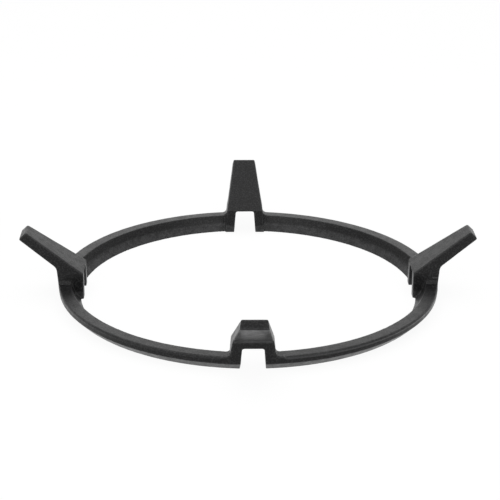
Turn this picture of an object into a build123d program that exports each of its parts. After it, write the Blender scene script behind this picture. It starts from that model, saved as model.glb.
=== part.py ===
"""Pot stand for a gas hob: one iron casting.

A round ring stands on the hob's pan support. Four prongs rise from it, leaning up and outwards, and a
round-bottomed pan sits between them. Under each prong the ring is notched right through, so that the stand
drops over the arms of the pan support and can't slide. The ring is cut through at each notch, and only the
root of the prong bridges it.

The lower mould forms the outer wall, the notches and the undersides of the prongs. All of them widen upwards
from the hob. The upper mould forms the ring's top and inside and the prongs' tops and sides.

The frame: +Z up, the ring's axis is Z, and the origin is at its centre on the plane it stands on. The prongs
lie along +X (right), +Y (back), -X (left) and -Y (front). Sizes are in millimetres, angles in degrees.
"""
import os
from math import cos, radians, sin, tan

from build123d import *

# The ring's section. Its radius is measured where the outer wall is shoulder_height above the hob. Inside, a
# wall drops from the top land to a sloping ledge, which runs down to the hob.
ring_radius = 110.3
shoulder_height = 7.4
ring_height = 9.0
wall_draft = 5.0
low_edge_height = 4.8
low_edge_run = 4.9
top_land = 7.3
inner_wall_run = 2.6
ledge_height = 3.0
ledge_run = 3.0

# The prongs. Each top face starts at the knee, over the inside of the ring, and rises outwards. The width is
# measured where the sides bend, halfway up the root.
prong_count = 4
foot_reach = 2.3
knee_height = 15.0
prong_width = 23.1
foot_draft = 4.0
prong_angle = 36.0
prong_length = 40.5
prong_draft = 11.0
tip_thickness = 5.8
tip_rake = 9.5
crook_height = 18.6

# The notch under each prong, for an arm of the pan support.
notch_height = 14.1
notch_top_width = 11.4
notch_draft = 4.4

# Rounded edges and corners. The bend's round is made smaller where the straight side it sits in is too short.
outer_edge_round = 0.7
low_edge_round = 0.4
root_fillet = 2.7
foot_fillet = 0.6
side_bend = 15.0
crook_round = 4.0
tip_top_round = 1.2
tip_low_round = 0.8
notch_round = 1.3

# How far shapes run on inside each other, or past what they cut, and how near counts as in place.
lap = 2.0
overrun = 5.0
slack = 0.01


def wall_radius(height):
    """The radius of the outer wall, which leans outwards from the hob up to the crook."""
    return ring_radius + (height - shoulder_height) * tan(radians(wall_draft))


def side_half(height):
    """Half a prong's width, which narrows upwards, and faster above the bend in its sides."""
    draft = foot_draft if height < bend_height else prong_draft
    return prong_width / 2 + (bend_height - height) * tan(radians(draft))


# Places that follow from the sizes above.
top_inner_radius = wall_radius(ring_height) - top_land
ledge_radius = top_inner_radius - inner_wall_run
low_inner_radius = ledge_radius - ledge_run
low_outer_radius = wall_radius(low_edge_height) - low_edge_run
foot_radius = low_inner_radius - foot_reach
bend_height = (ring_height + root_fillet + crook_height - crook_round / 2) / 2
bend_space = (bend_height - ring_height - root_fillet) / 2
bend_round = min(side_bend, bend_space / tan(radians(prong_draft - foot_draft) / 2))
sector_angle = 360 / prong_count


def upright_band():
    """The ring's section turned through one prong's share, with its outer wall carried up to the crook."""
    slope = inner_wall_run / (ring_height - ledge_height)
    flare_height = ring_height + root_fillet
    flare_radius = top_inner_radius + root_fillet * slope
    top = crook_height + lap / 2
    section = make_face(
        Plane.XZ
        * Polyline(
            (low_inner_radius, 0),
            (low_outer_radius, 0),
            (wall_radius(low_edge_height), low_edge_height),
            (wall_radius(top), top),
            (flare_radius, top),
            (flare_radius, flare_height),
            (ledge_radius, ledge_height),
            close=True,
        )
    )
    return revolve(section, Axis.Z, sector_angle).rotate(Axis.Z, -sector_angle / 2)


def seen_along(right_side, rounds):
    """A face in the view along a prong, mirrored from its right side, with some of its corners rounded."""
    left_side = [(-across, height) for across, height in reversed(right_side)]
    with BuildSketch(Plane.YZ) as outline:
        with BuildLine():
            Polyline(*right_side, *left_side, close=True)
        make_face()
        for (across, height), radius in rounds:
            for side in (-across, across):
                fillet(outline.vertices().sort_by_distance((side, height))[0], radius)
    return outline.sketch


def prong_side():
    """The right side of a prong seen along it: the bend halfway up its root, and a place above its tip."""
    top = knee_height + prong_length
    return (side_half(bend_height), bend_height), (side_half(top), top)


def prong_wedge():
    """The space between a prong's two side faces."""
    bend, above = prong_side()
    outline = seen_along([(side_half(0), 0), bend, above], [(bend, bend_round)])
    return extrude(outline, 2 * ring_radius)


def front_view():
    """The ring's height seen along a prong, and the root that rises from it with fillets."""
    bend, above = prong_side()
    reach = 2 * ring_radius
    root = (side_half(ring_height), ring_height)
    shoulder = [(reach, -overrun), (reach, ring_height), root]
    outline = seen_along([*shoulder, bend, above], [(bend, bend_round), (root, root_fillet)])
    return extrude(outline, 2 * ring_radius)


def ring_sector():
    """One prong's share of the ring, with the outside of the prong's root."""
    return upright_band() & front_view()


def prong():
    """The plate and the foot below its inner end, up to just inside the outer wall."""
    rise = radians(prong_angle)
    rake = radians(prong_angle + tip_rake)
    crook_radius = wall_radius(crook_height)
    tip = (foot_radius + prong_length * cos(rise), knee_height + prong_length * sin(rise))
    end = (tip[0] + tip_thickness * sin(rake), tip[1] - tip_thickness * cos(rake))
    underside_slope = (end[1] - crook_height) / (end[0] - crook_radius)
    with BuildPart() as plate:
        with BuildSketch(Plane.XZ) as profile:
            with BuildLine():
                Polyline(
                    (foot_radius, 0),
                    (low_outer_radius - lap, 0),
                    (wall_radius(low_edge_height) - lap, low_edge_height),
                    (crook_radius - lap, crook_height - lap * underside_slope),
                    end,
                    tip,
                    (foot_radius, knee_height),
                    close=True,
                )
            make_face()
            for corner, radius in ((end, tip_low_round), (tip, tip_top_round)):
                fillet(profile.vertices().sort_by_distance(corner)[0], radius)
        extrude(amount=prong_width, both=True)
    return plate.part & prong_wedge()


def notch():
    """The slot for an arm of the pan support. Its sides lean together upwards and its roof is level."""
    spread = (notch_height + overrun) * tan(radians(notch_draft))
    corner = (notch_top_width / 2, notch_height)
    outline = seen_along([(corner[0] + spread, -overrun), corner], [(corner, notch_round)])
    length = wall_radius(crook_height) - foot_radius + 2 * overrun
    return Pos(foot_radius - overrun, 0, 0) * extrude(outline, length)


def outermost_circle(body, height):
    """The round edges furthest out at a height: one in the open, or two where a prong divides them."""
    level = body.edges().filter_by(GeomType.CIRCLE).filter_by_position(Axis.Z, height - slack, height + slack)
    return level.group_by(lambda edge: round(edge.radius, 3))[-1]


def round_edges(body):
    """Rounds the crook, then the outer edge, which runs on smoothly over the root and all round the prong.

    The ring's low edge follows, then the corner between the foot and the ring's inner wall. The flat sides of
    the foot meet the cones of the inner wall in hyperbolas.
    """
    crook = body.edges().sort_by_distance((wall_radius(crook_height), 0, crook_height))[0]
    body = body.fillet(crook_round, [crook])
    body = body.fillet(outer_edge_round, outermost_circle(body, ring_height))
    body = body.fillet(low_edge_round, outermost_circle(body, 0))
    return body.fillet(foot_fillet, body.edges().filter_by(GeomType.HYPERBOLA))


def stand_sector():
    """One prong on its share of the ring."""
    return round_edges(ring_sector() + prong()) - notch()


def stand():
    """The whole casting."""
    sector = stand_sector()
    whole = sector
    for index in range(1, prong_count):
        whole += sector.rotate(Axis.Z, index * sector_angle)
    return whole


if __name__ == "__main__":
    os.makedirs("parts", exist_ok=True)
    export_step(stand(), "parts/stand.step")
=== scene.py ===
"""Dresses the pot stand: its cast skin, its satin black finish, and the stage that it stands on."""

from math import cos, radians, sin

import bmesh
import bpy
import numpy as np
from bpy.props import FloatProperty, FloatVectorProperty, IntProperty, PointerProperty
from mathutils import Matrix, Vector, noise


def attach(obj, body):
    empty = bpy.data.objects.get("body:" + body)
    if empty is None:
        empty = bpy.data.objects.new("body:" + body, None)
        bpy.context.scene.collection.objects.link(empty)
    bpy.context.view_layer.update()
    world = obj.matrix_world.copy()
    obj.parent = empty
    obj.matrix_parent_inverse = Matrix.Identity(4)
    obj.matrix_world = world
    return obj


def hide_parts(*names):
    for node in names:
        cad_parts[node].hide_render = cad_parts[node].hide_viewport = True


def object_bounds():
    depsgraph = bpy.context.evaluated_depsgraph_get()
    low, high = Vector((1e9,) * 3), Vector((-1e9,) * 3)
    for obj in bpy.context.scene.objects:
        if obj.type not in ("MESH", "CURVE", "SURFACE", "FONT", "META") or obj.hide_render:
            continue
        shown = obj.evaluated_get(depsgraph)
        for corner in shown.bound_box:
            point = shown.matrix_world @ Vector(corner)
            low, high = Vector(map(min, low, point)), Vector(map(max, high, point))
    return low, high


bl_info = {
    "name": "Cast Pot Stand",
    "version": (1, 0, 0),
    "blender": (4, 5, 0),
    "location": "View3D > Sidebar > Pot Stand",
    "description": "Gives a cast-iron pot stand soft edges, a sand-cast grain and a satin black finish",
    "category": "Object",
}

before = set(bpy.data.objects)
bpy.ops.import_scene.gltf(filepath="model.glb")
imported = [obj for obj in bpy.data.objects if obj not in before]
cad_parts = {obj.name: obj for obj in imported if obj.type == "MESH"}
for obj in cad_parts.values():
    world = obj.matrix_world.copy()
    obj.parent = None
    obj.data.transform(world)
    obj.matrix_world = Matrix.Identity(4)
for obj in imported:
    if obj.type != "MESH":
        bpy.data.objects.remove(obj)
cad_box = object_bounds()

CAD_NODE = "stand"
BODY = "root"
EDGE_ATTRIBUTE = "edge"

# The skin: points closer than this share of the mesh pitch are joined before it is meshed. The sharpness that
# is stored for its edges is relaxed this many times, and then strengthened.
WELD_SHARE = 0.01
SHARPNESS_PASSES = 2
SHARPNESS_GAIN = 4

# The sand's print: the fine grain and the mottle beside the coarse grain, which they are multiples of.
FINE_SIZE_FACTOR = 0.4
FINE_HEIGHT_FACTOR = 1 / 3
MOTTLE_SIZE_FACTOR = 5

# The lighter colour, which paints glints of light on the tops of the coarse grain as well as their rubbed
# tops, comes in between these heights of the coarse grain, and the coat goes from smoother to rougher between
# these heights of the mottle. The roughness changes by these amounts.
TOPS_RANGE = (0.4, 0.7)
MOTTLE_RANGE = (0.3, 0.7)
ROUGHNESS_CHANGE = (-0.05, 0.07)

# Low down, the lighter colour (a rubbed coat, and painted reflection of the bright floor) is full below this
# share of its height.
# Underneath, the painted reflection of the floor is full where the upright part of the surface's normal is
# the first value, and gone where it is the second. Over the range of the patches' texture it goes from the
# least amount to the full one.
FULL_WEAR_AND_LIGHT_SHARE = 0.7
UNDERNEATH_RANGE = (-0.6, -0.15)
PATCH_RANGE = (0.3, 0.7)
LEAST_WEAR_AND_LIGHT = 0.35

# The parting line starts beside a prong at the first share of the root's half width, and has come down from
# the root at the second. From left to right it goes from faint to plain, over this distance each side of the
# middle. Its crest has this share of the lighter colour, a painted highlight.
LINE_START_SHARE = 0.85
CLIMB_END_SHARE = 1.5
PARTING_FADE = 0.03
PARTING_HIGHLIGHT = 0.5

# The soft lamps: their widths and heights, and their places round the stand.
TOP_LAMP_SIZE = (1.4, 1.4)
TOP_LAMP_PLACE = (0.0, 0.25, 1.1)
FRONT_LAMP_SIZE = (2.6, 0.8)
FRONT_LAMP_PLACE = (-0.1, -1.1, 0.7)
BACK_LAMP_SIZE = (1.0, 1.0)
BACK_LAMP_PLACE = (0.0, 1.3, 0.7)


class CastingSettings(bpy.types.PropertyGroup):
    """Sizes and colours of the casting."""

    mesh_pitch: FloatProperty(
        name="Mesh Pitch",
        description="Spacing of the skin's mesh",
        default=0.0003,
        min=0.0002,
        max=0.003,
        precision=5,
        subtype="DISTANCE",
        unit="LENGTH",
    )
    edge_passes: IntProperty(
        name="Edge Softening",
        description="How many times the skin is relaxed, which rounds the edges that the mould left",
        default=3,
        min=0,
        max=30,
    )
    triangle_limit: IntProperty(
        name="Triangle Limit",
        description="How many triangles the skin is thinned to",
        default=184000,
        min=1000,
    )
    swell_height: FloatProperty(
        name="Swell Height",
        description="How far the surface dips between the gentle swells that the sand leaves",
        default=0.00009,
        min=0.0,
        max=0.001,
        precision=5,
        subtype="DISTANCE",
        unit="LENGTH",
    )
    swell_length: FloatProperty(
        name="Swell Length",
        description="Distance from one gentle swell to the next",
        default=0.006,
        min=0.001,
        max=0.05,
        precision=4,
        subtype="DISTANCE",
        unit="LENGTH",
    )
    grain_height: FloatProperty(
        name="Grain Height",
        description="Depth of the sand grain in the surface",
        default=0.00011,
        min=0.0,
        max=0.0005,
        precision=5,
        subtype="DISTANCE",
        unit="LENGTH",
    )
    grain_size: FloatProperty(
        name="Grain Size",
        description="Width of one grain of the sand's print",
        default=0.00075,
        min=0.0002,
        max=0.005,
        precision=5,
        subtype="DISTANCE",
        unit="LENGTH",
    )
    # Speckle: painted glints of light on the tops of the grains, along with their rubbed tops.
    speckle: FloatProperty(
        name="Speckle",
        description="How much of the worn colour shows on the tops of the grains",
        default=0.21,
        min=0.0,
        max=1.0,
        subtype="FACTOR",
    )
    # Low down the lighter colour is partly a rubbed coat and partly painted reflection of the bright floor.
    low_wear_and_light_height: FloatProperty(
        name="Low Wear Height",
        description="Below this height the coat is thin and mottled, where the stand rubs on the hob",
        default=0.0052,
        min=0.0,
        max=0.02,
        precision=4,
        subtype="DISTANCE",
        unit="LENGTH",
    )
    parting_height: FloatProperty(
        name="Parting Height",
        description="Height of the mould's parting line on the outer wall",
        default=0.0077,
        min=0.0,
        max=0.02,
        precision=4,
        subtype="DISTANCE",
        unit="LENGTH",
    )
    parting_ridge: FloatProperty(
        name="Parting Ridge",
        description="How far the parting line stands out",
        default=0.00025,
        min=0.0,
        max=0.001,
        precision=5,
        subtype="DISTANCE",
        unit="LENGTH",
    )
    coat_colour: FloatVectorProperty(
        name="Coat Colour",
        description="Colour of the satin black coat",
        default=(0.006, 0.006, 0.0062),
        size=3,
        min=0.0,
        max=1.0,
        subtype="COLOR",
    )
    # The lighter colour is partly a rubbed coat and partly painted light: highlights on the edges, grain tops
    # and parting line, and reflection of the floor low down and underneath.
    worn_and_lit_colour: FloatVectorProperty(
        name="Worn And Lit Colour",
        description="Colour of the coat where it is thin: along the edges, low down and underneath",
        default=(0.1, 0.1, 0.102),
        size=3,
        min=0.0,
        max=1.0,
        subtype="COLOR",
    )
    gloss_roughness: FloatProperty(
        name="Roughness",
        description="Roughness of the satin coat",
        default=0.33,
        min=0.0,
        max=1.0,
        subtype="FACTOR",
    )
    coat_ior: FloatProperty(
        name="Coat IOR",
        description="Refractive index of the satin coat, low because the fine grain scatters its gloss",
        default=1.27,
        min=1.0,
        max=2.0,
    )


class StageSettings(bpy.types.PropertyGroup):
    """Camera, lamps and floor."""

    lens: FloatProperty(
        name="Lens",
        description="Focal length on a 36 mm sensor",
        default=108.49,
        min=10,
        subtype="DISTANCE_CAMERA",
    )
    camera_distance: FloatProperty(
        name="Camera Distance",
        description="From the camera to the point on the floor that it aims at",
        default=0.94518,
        min=0.1,
        subtype="DISTANCE",
        unit="LENGTH",
    )
    camera_elevation: FloatProperty(
        name="Camera Elevation",
        description="Angle of the camera's axis above the floor",
        default=radians(21.5786),
        subtype="ANGLE",
        unit="ROTATION",
    )
    camera_roll: FloatProperty(
        name="Camera Roll",
        description="Turn of the camera about its own axis",
        default=radians(0.4594),
        subtype="ANGLE",
        unit="ROTATION",
    )
    camera_turn: FloatProperty(
        name="Camera Turn",
        description="Turn of the camera about the ring's axis, clockwise from above",
        default=radians(1.568),
        subtype="ANGLE",
        unit="ROTATION",
    )
    camera_aim: FloatVectorProperty(
        name="Camera Aim",
        description="Point on the floor that the camera aims at, before its turn",
        default=(0.00087, 0.06406, 0.0),
        size=3,
        subtype="XYZ",
        unit="LENGTH",
    )
    floor_size: FloatProperty(
        name="Floor Size",
        description="Side of the floor",
        default=12.0,
        min=1.0,
        subtype="DISTANCE",
        unit="LENGTH",
    )
    floor_colour: FloatVectorProperty(
        name="Floor Colour",
        description="Colour of the floor",
        default=(0.8, 0.8, 0.8),
        size=3,
        min=0.0,
        max=1.0,
        subtype="COLOR",
    )
    floor_glow: FloatProperty(
        name="Floor Glow",
        description="Strength of the floor's own white where it is seen",
        default=1.08,
        min=0.0,
        max=2.0,
    )
    floor_share: FloatProperty(
        name="Floor White Share",
        description="How much of the floor is its own white where it is seen, and the rest keeps the shadow",
        default=0.85,
        min=0.0,
        max=1.0,
        subtype="FACTOR",
    )
    top_power: FloatProperty(
        name="Top Lamp", description="Power of the soft lamp overhead", default=6.0, min=0.0, unit="POWER"
    )
    front_power: FloatProperty(
        name="Front Lamp",
        description="Power of the wide soft lamp above the camera",
        default=9.0,
        min=0.0,
        unit="POWER",
    )
    back_power: FloatProperty(
        name="Back Lamp",
        description="Power of the soft lamp behind the stand",
        default=1.5,
        min=0.0,
        unit="POWER",
    )
    ambient: FloatProperty(
        name="Ambient", description="Strength of the light from all round", default=0.25, min=0.0, max=2.0
    )


def new_group(name, inputs, output):
    """A shader node group with named number sockets, and its input and output nodes."""
    group = bpy.data.node_groups.new(name, "ShaderNodeTree")
    for label, default in inputs.items():
        socket = group.interface.new_socket(label, in_out="INPUT", socket_type="NodeSocketFloat")
        socket.default_value = default
    group.interface.new_socket(output, in_out="OUTPUT", socket_type="NodeSocketFloat")
    start = group.nodes.new("NodeGroupInput")
    end = group.nodes.new("NodeGroupOutput")
    return group, start, end


def add_node(tree, kind, place, **settings):
    """A node of that kind, with its own settings."""
    node = tree.nodes.new(kind)
    node.location = place
    for key, value in settings.items():
        setattr(node, key, value)
    return node


def feed(tree, socket, value):
    """Links the value to the socket where it comes from another node, and else writes the number in it."""
    if isinstance(value, bpy.types.NodeSocket):
        tree.links.new(value, socket)
    else:
        socket.default_value = value


def maths(tree, operation, place, *values, clamp=False):
    """The result of a maths node whose inputs are sockets or numbers."""
    node = add_node(tree, "ShaderNodeMath", place, operation=operation, use_clamp=clamp)
    for socket, value in zip(node.inputs, values):
        feed(tree, socket, value)
    return node.outputs["Value"]


def smooth_range(tree, place, value, start, end, to_start=0.0, to_end=1.0):
    """The value carried smoothly from one range to another."""
    node = add_node(tree, "ShaderNodeMapRange", place, interpolation_type="SMOOTHSTEP")
    labels = ("Value", "From Min", "From Max", "To Min", "To Max")
    for label, number in zip(labels, (value, start, end, to_start, to_end)):
        feed(tree, node.inputs[label], number)
    return node.outputs["Result"]


def sand_grain_group():
    """The print that moulding sand leaves: round grains, with finer ones between them."""
    group, start, end = new_group("Sand Grain", {"Size": 0.001, "Fineness": 0.6}, "Height")
    links = group.links
    place = add_node(group, "ShaderNodeTexCoord", (-800, 0))
    scale = maths(group, "DIVIDE", (-800, -250), 1.0, start.outputs["Size"])
    grains = add_node(group, "ShaderNodeTexVoronoi", (-500, 150), feature="SMOOTH_F1")
    grains.inputs["Smoothness"].default_value = 0.6
    fine = add_node(group, "ShaderNodeTexNoise", (-500, -200))
    fine.inputs["Detail"].default_value = 4.0
    mix = add_node(group, "ShaderNodeMix", (-200, 0), data_type="FLOAT")
    for texture in (grains, fine):
        links.new(place.outputs["Object"], texture.inputs["Vector"])
        links.new(scale, texture.inputs["Scale"])
    links.new(start.outputs["Fineness"], mix.inputs["Factor"])
    links.new(grains.outputs["Distance"], mix.inputs["A"])
    links.new(fine.outputs["Fac"], mix.inputs["B"])
    links.new(mix.outputs["Result"], end.inputs["Height"])
    return group


def wear_and_light_group():
    """Where the lighter colour goes: along the rounded edges as a rubbed coat and painted highlight, low down
    as a rubbed coat and painted reflection of the floor, and underneath as painted reflection of the floor,
    broken up into patches.
    """
    group, start, end = new_group(
        "Wear And Light",
        {"Edges": 1.0, "Low Down": 0.4, "Underneath": 0.7, "Height": 0.005, "Patch Size": 0.003},
        "Mask",
    )
    links = group.links
    place = add_node(group, "ShaderNodeTexCoord", (-1200, 0))
    parts = add_node(group, "ShaderNodeSeparateXYZ", (-1000, 200))
    links.new(place.outputs["Object"], parts.inputs["Vector"])
    edge = add_node(group, "ShaderNodeAttribute", (-800, 400), attribute_name=EDGE_ATTRIBUTE)
    # Edges: rubbed coat and painted highlight.
    edges = maths(group, "MULTIPLY", (-550, 400), edge.outputs["Fac"], start.outputs["Edges"])
    # Low down: rubbed coat and painted reflection of the floor.
    lower = maths(group, "MULTIPLY", (-800, 50), start.outputs["Height"], FULL_WEAR_AND_LIGHT_SHARE)
    below = smooth_range(group, (-550, 150), parts.outputs["Z"], lower, start.outputs["Height"], 1.0, 0.0)
    low = maths(group, "MULTIPLY", (-300, 150), below, start.outputs["Low Down"])
    patches = add_node(group, "ShaderNodeTexNoise", (-800, -200))
    patches.inputs["Detail"].default_value = 3.0
    links.new(place.outputs["Object"], patches.inputs["Vector"])
    scale = maths(group, "DIVIDE", (-1000, -250), 1.0, start.outputs["Patch Size"])
    links.new(scale, patches.inputs["Scale"])
    broken = smooth_range(group, (-550, -200), patches.outputs["Fac"], *PATCH_RANGE, LEAST_WEAR_AND_LIGHT, 1.0)
    # Underneath: painted reflection of the bright floor, chosen by the direction of the surface's normal.
    facing = add_node(group, "ShaderNodeNewGeometry", (-1000, 650))
    facing_parts = add_node(group, "ShaderNodeSeparateXYZ", (-800, 650))
    links.new(facing.outputs["Normal"], facing_parts.inputs["Vector"])
    down = smooth_range(group, (-550, 650), facing_parts.outputs["Z"], *UNDERNEATH_RANGE, 1.0, 0.0)
    under = maths(group, "MULTIPLY", (-300, 550), down, start.outputs["Underneath"])
    worn_and_lit = maths(group, "ADD", (-100, 250), edges, maths(group, "ADD", (-200, 450), low, under))
    links.new(maths(group, "MULTIPLY", (100, 0), worn_and_lit, broken, clamp=True), end.inputs["Mask"])
    return group


def parting_line_group():
    """The mould's parting line: a fine ridge round the outer wall that climbs into the root of each prong.

    It is fainter on the left, both its ridge and the painted highlight on its crest.
    """
    group, start, end = new_group(
        "Parting Line",
        {
            "Height": 0.006,
            "Climb": 0.0045,
            "Width": 0.0008,
            "Wall Radius": 0.107,
            "Root Half Width": 0.012,
            "Left Strength": 0.3,
        },
        "Ridge",
    )
    links = group.links
    place = add_node(group, "ShaderNodeTexCoord", (-1400, 0))
    parts = add_node(group, "ShaderNodeSeparateXYZ", (-1200, 0))
    links.new(place.outputs["Object"], parts.inputs["Vector"])
    x, y, z = parts.outputs
    x_squared = maths(group, "MULTIPLY", (-1000, -300), x, x)
    y_squared = maths(group, "MULTIPLY", (-1000, -450), y, y)
    radius = maths(group, "SQRT", (-600, -350), maths(group, "ADD", (-800, -350), x_squared, y_squared))
    outside = maths(group, "GREATER_THAN", (-400, -350), radius, start.outputs["Wall Radius"])
    x_size = maths(group, "ABSOLUTE", (-1000, 200), x)
    y_size = maths(group, "ABSOLUTE", (-1000, 50), y)
    across = maths(group, "MINIMUM", (-800, 150), x_size, y_size)
    root = start.outputs["Root Half Width"]
    climb_end = maths(group, "MULTIPLY", (-800, 350), root, CLIMB_END_SHARE)
    climb = smooth_range(group, (-600, 250), across, root, climb_end, start.outputs["Climb"], 0.0)
    level = maths(group, "ADD", (-400, 250), start.outputs["Height"], climb)
    off = maths(group, "ABSOLUTE", (0, 200), maths(group, "SUBTRACT", (-200, 200), z, level))
    line = smooth_range(group, (200, 200), off, 0.0, start.outputs["Width"], 1.0, 0.0)
    line_start = maths(group, "MULTIPLY", (-800, -150), root, LINE_START_SHARE)
    beside = smooth_range(group, (-400, -50), across, line_start, root)
    left = start.outputs["Left Strength"]
    strength = smooth_range(group, (-400, -600), x, -PARTING_FADE, PARTING_FADE, left, 1.0)
    there = maths(group, "MULTIPLY", (0, -50), outside, beside)
    shown = maths(group, "MULTIPLY", (200, -50), there, strength)
    links.new(maths(group, "MULTIPLY", (400, 100), line, shown), end.inputs["Ridge"])
    return group


def place_group(tree, group, place, **values):
    """The group placed in a material, with that material's own values."""
    node = add_node(tree, "ShaderNodeGroup", place, node_tree=group)
    for label, value in values.items():
        node.inputs[label.replace("_", " ")].default_value = value
    return node


def satin_coat(settings):
    """Satin black coat over sand-cast iron, with painted highlights and painted floor reflections in its
    lighter colour.
    """
    material = bpy.data.materials.new("satin_black_coat")
    material.use_nodes = True
    tree = material.node_tree
    links = tree.links
    shader = tree.nodes["Principled BSDF"]
    shader.inputs["IOR"].default_value = settings.coat_ior

    grain = sand_grain_group()
    grain_size = settings.grain_size
    coarse = place_group(tree, grain, (-1200, -300), Size=grain_size, Fineness=0.4)
    fine = place_group(tree, grain, (-1200, -500), Size=grain_size * FINE_SIZE_FACTOR, Fineness=0.8)
    mottle = place_group(tree, grain, (-1200, -100), Size=grain_size * MOTTLE_SIZE_FACTOR, Fineness=1.0)
    # The lighter colour's mask: rubbed coat, painted highlights on the edges, and painted floor reflection
    # low down and underneath.
    wear_and_light = place_group(tree, wear_and_light_group(), (-1200, 200), Height=settings.low_wear_and_light_height, Edges=0.7)
    parting = place_group(tree, parting_line_group(), (-1200, 450), Height=settings.parting_height)

    # Painted glints of light on the tops of the coarse grain, with their rubbed tops.
    tops = smooth_range(tree, (-900, 0), coarse.outputs["Height"], *TOPS_RANGE, 0.0, settings.speckle)
    worn_and_lit = maths(tree, "ADD", (-700, 150), wear_and_light.outputs["Mask"], tops)
    # Painted highlight along the crest of the parting line.
    line = maths(tree, "MULTIPLY", (-900, 400), parting.outputs["Ridge"], PARTING_HIGHLIGHT)
    tint = add_node(tree, "ShaderNodeMix", (-300, 300), data_type="RGBA")
    tint.inputs["A"].default_value = (*settings.coat_colour, 1.0)
    tint.inputs["B"].default_value = (*settings.worn_and_lit_colour, 1.0)
    links.new(maths(tree, "ADD", (-500, 250), worn_and_lit, line, clamp=True), tint.inputs["Factor"])
    links.new(tint.outputs["Result"], shader.inputs["Base Color"])

    smoother, rougher = (settings.gloss_roughness + change for change in ROUGHNESS_CHANGE)
    gloss = smooth_range(tree, (-500, 50), mottle.outputs["Height"], *MOTTLE_RANGE, smoother, rougher)
    links.new(gloss, shader.inputs["Roughness"])

    # Each of these adds its relief to the one before it.
    normal = None
    for source, socket, height, place in (
        (coarse, "Height", settings.grain_height, (-700, -300)),
        (fine, "Height", settings.grain_height * FINE_HEIGHT_FACTOR, (-500, -400)),
        (parting, "Ridge", settings.parting_ridge, (-300, -500)),
    ):
        bump = add_node(tree, "ShaderNodeBump", place)
        bump.inputs["Distance"].default_value = height
        links.new(source.outputs[socket], bump.inputs["Height"])
        if normal:
            links.new(normal, bump.inputs["Normal"])
        normal = bump.outputs["Normal"]
    links.new(normal, shader.inputs["Normal"])
    return material


def even_mesh(source, pitch):
    """The CAD node's closed surface, meshed again with even faces."""
    mesh = source.data.copy()
    welded = bmesh.new()
    welded.from_mesh(mesh)
    bmesh.ops.remove_doubles(welded, verts=welded.verts, dist=pitch * WELD_SHARE)
    welded.to_mesh(mesh)
    welded.free()
    rough = bpy.data.objects.new("rough_casting", mesh)
    bpy.context.scene.collection.objects.link(rough)
    remesh = rough.modifiers.new("even_faces", "REMESH")
    remesh.mode = "VOXEL"
    remesh.voxel_size = pitch
    graph = bpy.context.evaluated_depsgraph_get()
    even = bpy.data.meshes.new_from_object(rough.evaluated_get(graph))
    bpy.data.objects.remove(rough)
    return even


def relaxed(points, edges, passes):
    """The points after each has moved half way to the mean of its neighbours, that many times."""
    count = len(points)
    neighbours = np.bincount(edges.ravel(), minlength=count)[:, None]
    for _ in range(passes):
        total = np.zeros_like(points)
        for axis in range(points.shape[1]):
            total[:, axis] += np.bincount(edges[:, 0], points[edges[:, 1], axis], count)
            total[:, axis] += np.bincount(edges[:, 1], points[edges[:, 0], axis], count)
        points = (points + total / neighbours) / 2
    return points


def soften(mesh, settings):
    """Rounds the edges, lets the surface dip between gentle swells, and stores how sharp each edge was."""
    count = len(mesh.vertices)
    points = np.empty(count * 3)
    mesh.vertices.foreach_get("co", points)
    points = points.reshape(count, 3)
    edges = np.empty(len(mesh.edges) * 2, dtype=np.int64)
    mesh.edges.foreach_get("vertices", edges)
    edges = edges.reshape(-1, 2)

    soft = relaxed(points, edges, settings.edge_passes)
    mesh.vertices.foreach_set("co", soft.ravel())
    mesh.update()
    normals = np.empty(count * 3)
    mesh.vertices.foreach_get("normal", normals)
    normals = normals.reshape(count, 3)
    moved = ((points - soft) * normals).sum(axis=1) / settings.mesh_pitch
    sharpness = relaxed(moved[:, None], edges, SHARPNESS_PASSES)[:, 0] * SHARPNESS_GAIN
    attribute = mesh.attributes.new(EDGE_ATTRIBUTE, "FLOAT", "POINT")
    attribute.data.foreach_set("value", np.clip(sharpness, 0, 1))

    # The noise runs from -1 to 1. The surface stays where it is 1 and dips by the full height where it is -1.
    swells = np.array([noise.noise(Vector(point) / settings.swell_length) for point in soft])
    depth = (swells - 1) / 2 * settings.swell_height
    mesh.vertices.foreach_set("co", (soft + normals * depth[:, None]).ravel())
    mesh.update()


def thinned(mesh, limit):
    """The mesh with its flattest places joined into larger triangles, down to the limit."""
    mesh.calc_loop_triangles()
    dense = bpy.data.objects.new("dense_casting", mesh)
    bpy.context.scene.collection.objects.link(dense)
    thin = dense.modifiers.new("thin", "DECIMATE")
    thin.ratio = min(limit / len(mesh.loop_triangles), 1.0)
    graph = bpy.context.evaluated_depsgraph_get()
    result = bpy.data.meshes.new_from_object(dense.evaluated_get(graph))
    bpy.data.objects.remove(dense)
    return result


class STAND_OT_casting(bpy.types.Operator):
    """Build the casting's skin, with its rounded edges and its finish"""

    bl_idname = "stand.casting"
    bl_label = "Build the Casting"

    def execute(self, context):
        settings = context.scene.casting_settings
        mesh = even_mesh(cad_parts[CAD_NODE], settings.mesh_pitch)
        soften(mesh, settings)
        mesh = thinned(mesh, settings.triangle_limit)
        mesh.name = "casting"
        mesh.polygons.foreach_set("use_smooth", np.ones(len(mesh.polygons), dtype=bool))
        mesh.materials.clear()
        mesh.materials.append(satin_coat(settings))
        casting = bpy.data.objects.new("casting", mesh)
        context.scene.collection.objects.link(casting)
        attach(casting, BODY)
        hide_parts(CAD_NODE)
        return {"FINISHED"}


def white_where_seen(tree):
    """1 for rays from the camera, from a gloss or through glass, and 0 for the rest."""
    path = add_node(tree, "ShaderNodeLightPath", (-700, 300))
    seen = maths(tree, "MAXIMUM", (-450, 300), path.outputs["Is Camera Ray"], path.outputs["Is Glossy Ray"])
    return maths(tree, "MAXIMUM", (-250, 300), seen, path.outputs["Is Transmission Ray"])


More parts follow.
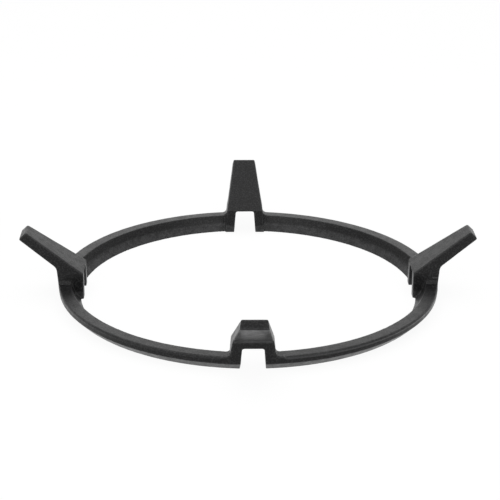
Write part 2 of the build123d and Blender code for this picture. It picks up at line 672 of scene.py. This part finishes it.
def floor_material(settings):
    """A pale floor that looks white from the camera and in reflections, and keeps a faint shadow."""
    material = bpy.data.materials.new("floor")
    material.use_nodes = True
    tree = material.node_tree
    tree.nodes.clear()
    out = add_node(tree, "ShaderNodeOutputMaterial", (600, 0))
    surface = add_node(tree, "ShaderNodeBsdfDiffuse", (0, 0))
    surface.inputs["Color"].default_value = (*settings.floor_colour, 1.0)
    glow = add_node(tree, "ShaderNodeEmission", (0, -150))
    glow.inputs["Strength"].default_value = settings.floor_glow
    both = add_node(tree, "ShaderNodeMixShader", (300, 0))
    share = maths(tree, "MULTIPLY", (0, 300), white_where_seen(tree), settings.floor_share)
    tree.links.new(share, both.inputs["Fac"])
    tree.links.new(surface.outputs["BSDF"], both.inputs[1])
    tree.links.new(glow.outputs["Emission"], both.inputs[2])
    tree.links.new(both.outputs["Shader"], out.inputs["Surface"])
    return material


def build_floor(scene, settings):
    """The floor, level with the plane that the stand rests on."""
    half = settings.floor_size / 2
    mesh = bpy.data.meshes.new("floor")
    corners = [(-half, -half, 0), (half, -half, 0), (half, half, 0), (-half, half, 0)]
    mesh.from_pydata(corners, [], [(0, 1, 2, 3)])
    mesh.materials.append(floor_material(settings))
    floor = bpy.data.objects.new("floor", mesh)
    scene.collection.objects.link(floor)


def build_world(scene, settings):
    """Even light from all round, white where it is seen."""
    world = bpy.data.worlds.new("studio")
    scene.world = world
    world.use_nodes = True
    tree = world.node_tree
    background = tree.nodes["Background"]
    background.inputs["Color"].default_value = (1.0, 1.0, 1.0, 1.0)
    strength = add_node(tree, "ShaderNodeMix", (-50, 300), data_type="FLOAT")
    strength.inputs["A"].default_value = settings.ambient
    strength.inputs["B"].default_value = 1.0
    tree.links.new(white_where_seen(tree), strength.inputs["Factor"])
    tree.links.new(strength.outputs["Result"], background.inputs["Strength"])


def build_lamp(scene, name, power, size, place, target):
    """A rectangular soft lamp that faces its target."""
    data = bpy.data.lights.new(name, "AREA")
    data.energy = power
    data.shape = "RECTANGLE"
    data.size, data.size_y = size
    lamp = bpy.data.objects.new(name, data)
    lamp.location = place
    lamp.rotation_euler = (Vector(target) - Vector(place)).to_track_quat("-Z", "Y").to_euler()
    scene.collection.objects.link(lamp)


def build_camera(scene, settings):
    """The camera at the viewing angle that shows three prongs from inside and the near one from outside."""
    data = bpy.data.cameras.new("camera")
    data.lens = settings.lens
    # Twice the floor's side is far enough to see all of it.
    data.clip_end = settings.floor_size * 2
    camera = bpy.data.objects.new("camera", data)
    rise = settings.camera_elevation
    roll = settings.camera_roll
    back = Vector((0, -cos(rise), sin(rise)))
    right = Vector((1, 0, 0))
    up = back.cross(right)
    tilted_right = cos(roll) * right + sin(roll) * up
    tilted_up = cos(roll) * up - sin(roll) * right
    turn = Matrix((tilted_right, tilted_up, back)).transposed().to_4x4()
    place = Matrix.Translation(Vector(settings.camera_aim) + back * settings.camera_distance)
    camera.matrix_world = Matrix.Rotation(-settings.camera_turn, 4, "Z") @ place @ turn
    scene.collection.objects.link(camera)
    scene.camera = camera


class STAND_OT_stage(bpy.types.Operator):
    """Set up the floor, the soft lamps, the world and the camera"""

    bl_idname = "stand.stage"
    bl_label = "Build the Stage"

    def execute(self, context):
        scene = context.scene
        settings = scene.stage_settings
        scene.view_settings.view_transform = "Standard"
        build_floor(scene, settings)
        build_world(scene, settings)
        middle = (cad_box[0] + cad_box[1]) / 2
        build_lamp(scene, "top_lamp", settings.top_power, TOP_LAMP_SIZE, TOP_LAMP_PLACE, middle)
        build_lamp(scene, "front_lamp", settings.front_power, FRONT_LAMP_SIZE, FRONT_LAMP_PLACE, middle)
        build_lamp(scene, "back_lamp", settings.back_power, BACK_LAMP_SIZE, BACK_LAMP_PLACE, middle)
        build_camera(scene, settings)
        return {"FINISHED"}


class STAND_PT_panel(bpy.types.Panel):
    """The pot stand's settings and the operators that build it."""

    bl_idname = "STAND_PT_panel"
    bl_label = "Pot Stand"
    bl_space_type = "VIEW_3D"
    bl_region_type = "UI"
    bl_category = "Pot Stand"

    def draw(self, context):
        for settings, operator in (("casting_settings", "stand.casting"), ("stage_settings", "stand.stage")):
            group = getattr(context.scene, settings)
            column = self.layout.column(align=True)
            for name in group.__annotations__:
                column.prop(group, name)
            column.operator(operator)


CLASSES = (CastingSettings, StageSettings, STAND_OT_casting, STAND_OT_stage, STAND_PT_panel)


def register():
    """Adds the classes and puts their settings on the scene."""
    for cls in CLASSES:
        bpy.utils.register_class(cls)
    bpy.types.Scene.casting_settings = PointerProperty(type=CastingSettings)
    bpy.types.Scene.stage_settings = PointerProperty(type=StageSettings)


def unregister():
    """Takes the settings and the classes away again."""
    del bpy.types.Scene.stage_settings
    del bpy.types.Scene.casting_settings
    for cls in reversed(CLASSES):
        bpy.utils.unregister_class(cls)


def main():
    """Builds the casting and its stage."""
    register()
    bpy.ops.stand.casting()
    bpy.ops.stand.stage()


if __name__ == "__main__":
    main()
